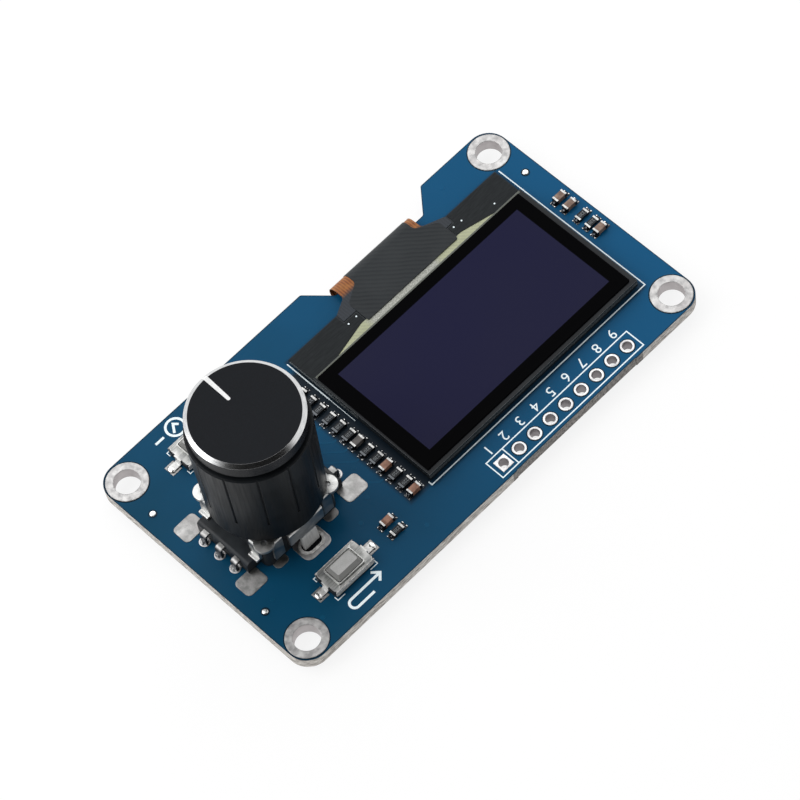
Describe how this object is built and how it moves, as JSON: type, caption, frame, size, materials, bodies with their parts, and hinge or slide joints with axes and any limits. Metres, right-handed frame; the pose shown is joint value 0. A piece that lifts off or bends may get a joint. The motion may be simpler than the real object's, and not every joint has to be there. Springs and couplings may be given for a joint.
{
  "type": "display module with push encoder",
  "caption": "Small blue circuit board with a glass display, a push encoder under a tall ribbed knob and flat side keys",
  "frame": {"origin": "centre of the four mounting holes, on the underside of the board", "axes": "+X right and +Y up the board as its pin row is read, so the knob is at +X and the pin row at +Y; +Z out of the display"},
  "size_m": [0.0644, 0.035, 0.0246],
  "materials": {
    "solder_mask": "glossy blue solder mask on glass fibre laminate",
    "tinned_copper": "hot air levelled tin over copper",
    "solder": "bright solder",
    "foam_tape": "black adhesive tape",
    "display_glass": "clear ground glass",
    "polarizer_film": "glossy black film",
    "black_tape": "thin black tape",
    "polyimide": "amber polyimide over copper",
    "dark_film": "dark grey ribbed film",
    "chip_silicon": "bare driver chip",
    "black_moulding": "black moulded plastic",
    "plated_steel": "tin plated steel sheet",
    "zinc_casting": "plated zinc casting",
    "spring_steel": "bright spring steel",
    "spring_bronze": "spring bronze",
    "pale_moulding": "natural moulded plastic",
    "tinned_brass": "tinned brass",
    "knob_moulding": "satin black moulding",
    "anodised_cap": "black anodised aluminium with a bright cut chamfer",
    "white_inlay": "white paint line",
    "grey_plunger": "grey moulded plastic",
    "resistor_black": "black glaze on ceramic",
    "capacitor_ceramic": "brown ceramic"
  },
  "bodies": {
    "board": {"capacitor_1": "capacitor_ceramic", "capacitor_2": "capacitor_ceramic", "capacitor_3": "capacitor_ceramic", "capacitor_4": "capacitor_ceramic", "capacitor_5": "capacitor_ceramic", "capacitor_6": "capacitor_ceramic", "capacitor_7": "capacitor_ceramic", "chip_end_caps": "solder", "circuit_board": "solder_mask", "display_cover_glass": "display_glass", "display_driver_chip": "chip_silicon", "display_ledge_tape": "black_tape", "display_polarizer": "polarizer_film", "display_rear_glass": "display_glass", "display_tape": "foam_tape", "encoder_base": "black_moulding", "encoder_bushing": "zinc_casting", "encoder_contacts": "tinned_brass", "encoder_cover": "plated_steel", "encoder_detent_spring": "spring_steel", "encoder_push_dome": "spring_steel", "encoder_solder_joints": "solder", "encoder_terminals": "tinned_brass", "flex_cable": "polyimide", "flex_cover": "dark_film", "flex_solder_joints": "solder", "lower_key_base": "black_moulding", "lower_key_cover": "plated_steel", "lower_key_dome": "spring_steel", "lower_key_leads": "tinned_brass", "mounting_hole_plating": "tinned_copper", "pin_hole_plating": "tinned_copper", "resistor_1": "resistor_black", "resistor_10": "resistor_black", "resistor_11": "resistor_black", "resistor_12": "resistor_black", "resistor_13": "resistor_black", "resistor_2": "resistor_black", "resistor_3": "resistor_black", "resistor_4": "resistor_black", "resistor_5": "resistor_black", "resistor_6": "resistor_black", "resistor_7": "resistor_black", "resistor_8": "resistor_black", "resistor_9": "resistor_black", "solder_pads": "tinned_copper", "upper_key_base": "black_moulding", "upper_key_cover": "plated_steel", "upper_key_dome": "spring_steel", "upper_key_leads": "tinned_brass"},
    "rotor": {"encoder_rotor": "pale_moulding", "encoder_wiper": "spring_bronze"},
    "knob": {"encoder_shaft": "plated_steel", "shaft_retaining_ring": "spring_steel", "encoder_push_actuator": "pale_moulding", "knob_body": "knob_moulding", "knob_cap": "anodised_cap", "knob_pointer": "white_inlay"},
    "upper_plunger": {"upper_key_plunger": "grey_plunger"},
    "lower_plunger": {"lower_key_plunger": "grey_plunger"}
  },
  "joints": [
    {"name": "knob_turn", "type": "hinge", "parent": "board", "child": "rotor", "pos_m": [0.02087, 0, 0], "axis": [0, 0, 1], "continuous": true},
    {"name": "knob_push", "type": "slide", "parent": "rotor", "child": "knob", "axis": [0, 0, -1], "range_m": [0, 0.0005], "stiffness_N_per_m": 6000, "springref_m": -0.0002, "deforming": ["encoder_push_dome"]},
    {"name": "upper_key_press", "type": "slide", "parent": "board", "child": "upper_plunger", "axis": [0, 0, -1], "range_m": [0, 0.00025], "stiffness_N_per_m": 6000, "springref_m": -0.0001, "deforming": ["upper_key_dome"]},
    {"name": "lower_key_press", "type": "slide", "parent": "board", "child": "lower_plunger", "axis": [0, 0, -1], "range_m": [0, 0.00025], "stiffness_N_per_m": 6000, "springref_m": -0.0001, "deforming": ["lower_key_dome"]}
  ]
}
